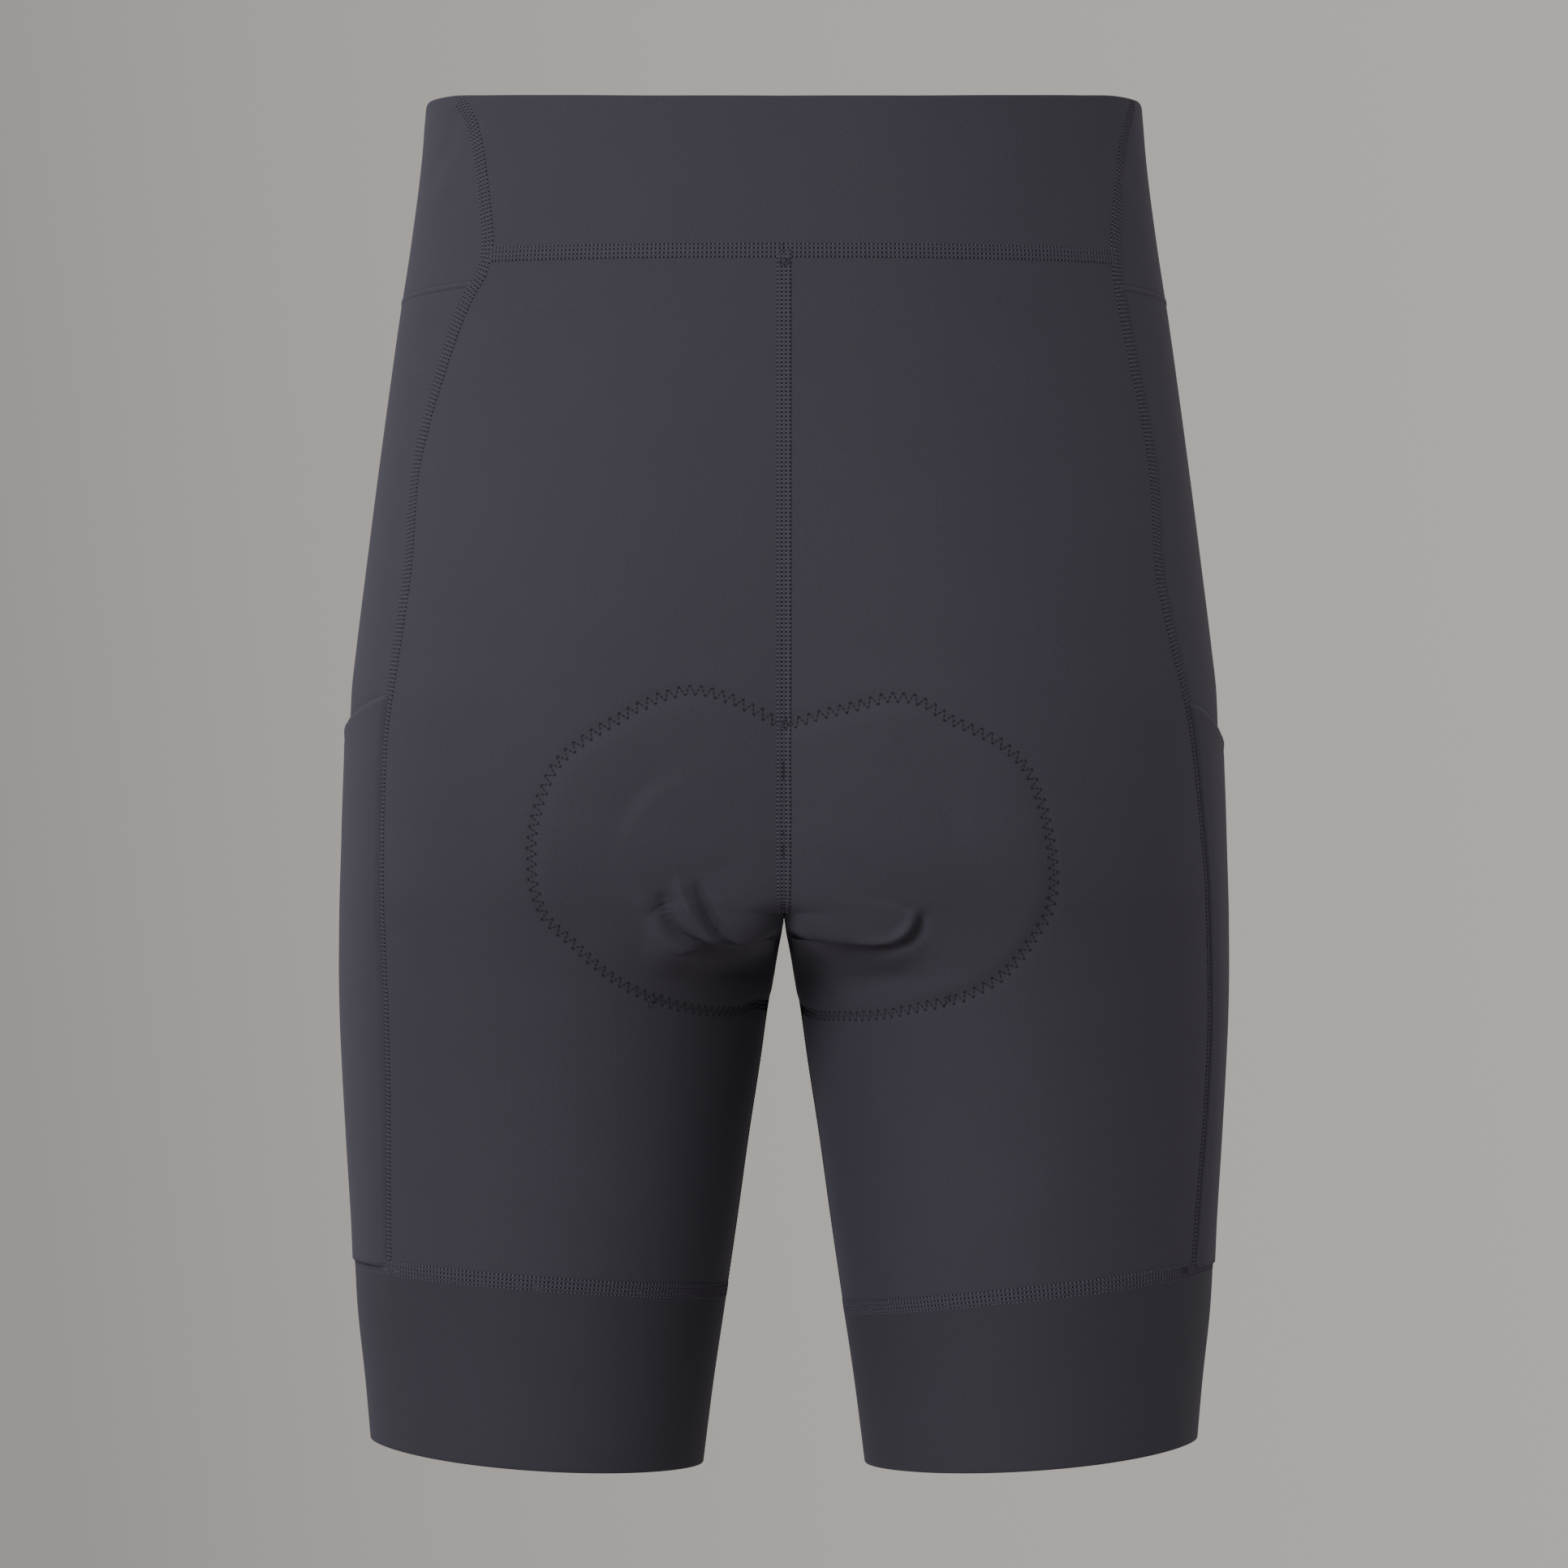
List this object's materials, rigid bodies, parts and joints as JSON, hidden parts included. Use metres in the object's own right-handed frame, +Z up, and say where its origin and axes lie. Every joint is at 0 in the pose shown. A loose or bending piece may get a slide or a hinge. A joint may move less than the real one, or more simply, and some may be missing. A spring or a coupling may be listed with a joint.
{
  "type": "cycling shorts",
  "caption": "Close-fitting cycling shorts in dark stretch knit, worn shape, with a deep waistband, side pockets, leg bands and a seat pad; hollow from waist to hems.",
  "frame": {"origin": "centre of the waistband ring, half way up the back waistband, where the wearer's waist holds the shorts", "axes": "+Z up the body, the seat faces -Y, +X is the wearer's right"},
  "size_m": [0.3344, 0.2286, 0.5102],
  "materials": {
    "body_knit": "matt brushed stretch jersey, dark slate with a violet cast",
    "waistband_knit": "matt stretch jersey, doubled, dark slate",
    "pocket_knit": "matt stretch jersey with a folded hem at the mouth",
    "band_knit": "smooth firm stretch jersey with a folded lower edge",
    "pad_foam": "soft brushed microfibre over moulded foam",
    "seam_thread": "textured polyester sewing thread, tone on tone"
  },
  "bodies": {
    "root": {"back_waistband": "waistband_knit", "front_waistband": "waistband_knit", "back_panel_left": "body_knit", "back_panel_right": "body_knit", "front_panel_left": "body_knit", "front_panel_right": "body_knit", "side_panel_left": "body_knit", "side_panel_right": "body_knit", "side_pocket_left": "pocket_knit", "side_pocket_right": "pocket_knit", "leg_band_left": "band_knit", "leg_band_right": "band_knit", "seat_pad": "pad_foam"}
  },
  "joints": []
}
